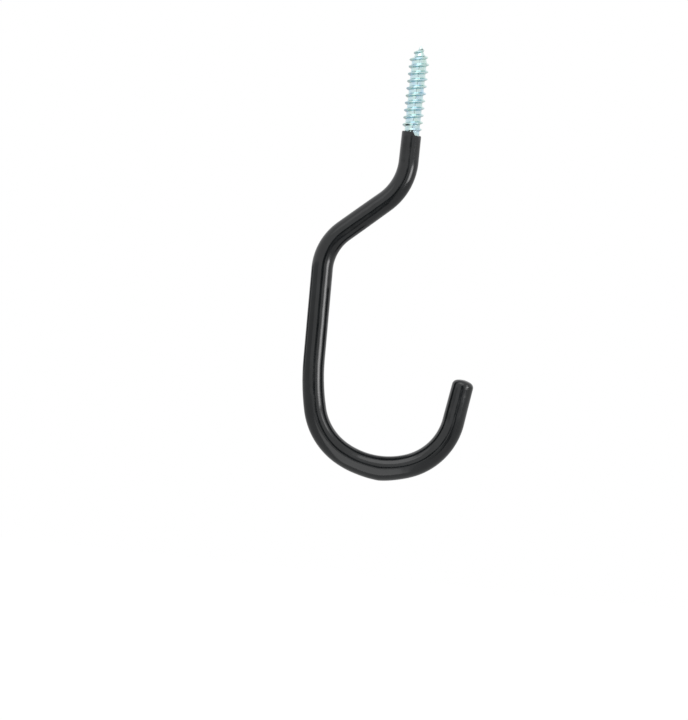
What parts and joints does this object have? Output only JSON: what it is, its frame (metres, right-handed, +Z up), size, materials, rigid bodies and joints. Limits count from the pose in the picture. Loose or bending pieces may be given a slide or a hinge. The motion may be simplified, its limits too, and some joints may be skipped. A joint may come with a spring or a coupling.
{
  "type": "ceiling hook",
  "caption": "Screw-in ceiling hook: a bent steel rod with a wood screw thread and gimlet point, vinyl dipped, offset neck and deep open bowl.",
  "frame": {"origin": "on the screw's axis, in the ceiling plane, where the coating's top edge meets the bare shank", "axes": "+Z up along the screw's axis into the ceiling; +X from the limb towards the side where the hook is open; the hook lies in the XZ plane"},
  "size_m": [0.0673, 0.0092, 0.1688],
  "materials": {
    "zinc_plated_steel": "bright zinc plated, bluish passivation",
    "dipped_vinyl": "glossy black dip-moulded vinyl"
  },
  "bodies": {
    "root": {"steel_rod": "zinc_plated_steel", "vinyl_coating": "dipped_vinyl"}
  },
  "joints": []
}
